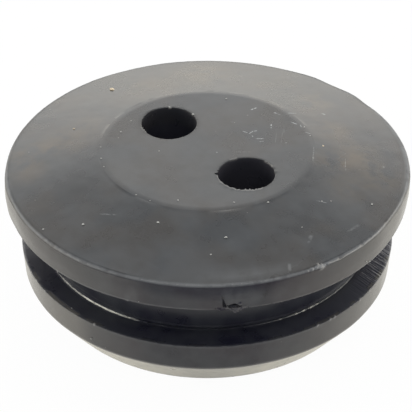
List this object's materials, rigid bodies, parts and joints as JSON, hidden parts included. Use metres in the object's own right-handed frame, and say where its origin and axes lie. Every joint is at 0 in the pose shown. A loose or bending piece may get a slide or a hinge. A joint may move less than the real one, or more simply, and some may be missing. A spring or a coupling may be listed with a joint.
{
  "type": "tank gasket",
  "caption": "Round moulded rubber grommet with a shallow cone cap, a groove for a tank wall, a tapered nose and through holes for fuel lines.",
  "frame": {"origin": "centre of the nose's flat underside, on the grommet's axis", "axes": "+Z along the grommet's axis, from the nose to the cap; +X along the line through the centres of the line holes"},
  "size_m": [0.027, 0.027, 0.011],
  "materials": {
    "rubber": "satin moulded rubber with a faint surface bloom"
  },
  "bodies": {
    "root": {"tank_gasket": "rubber"}
  },
  "joints": []
}
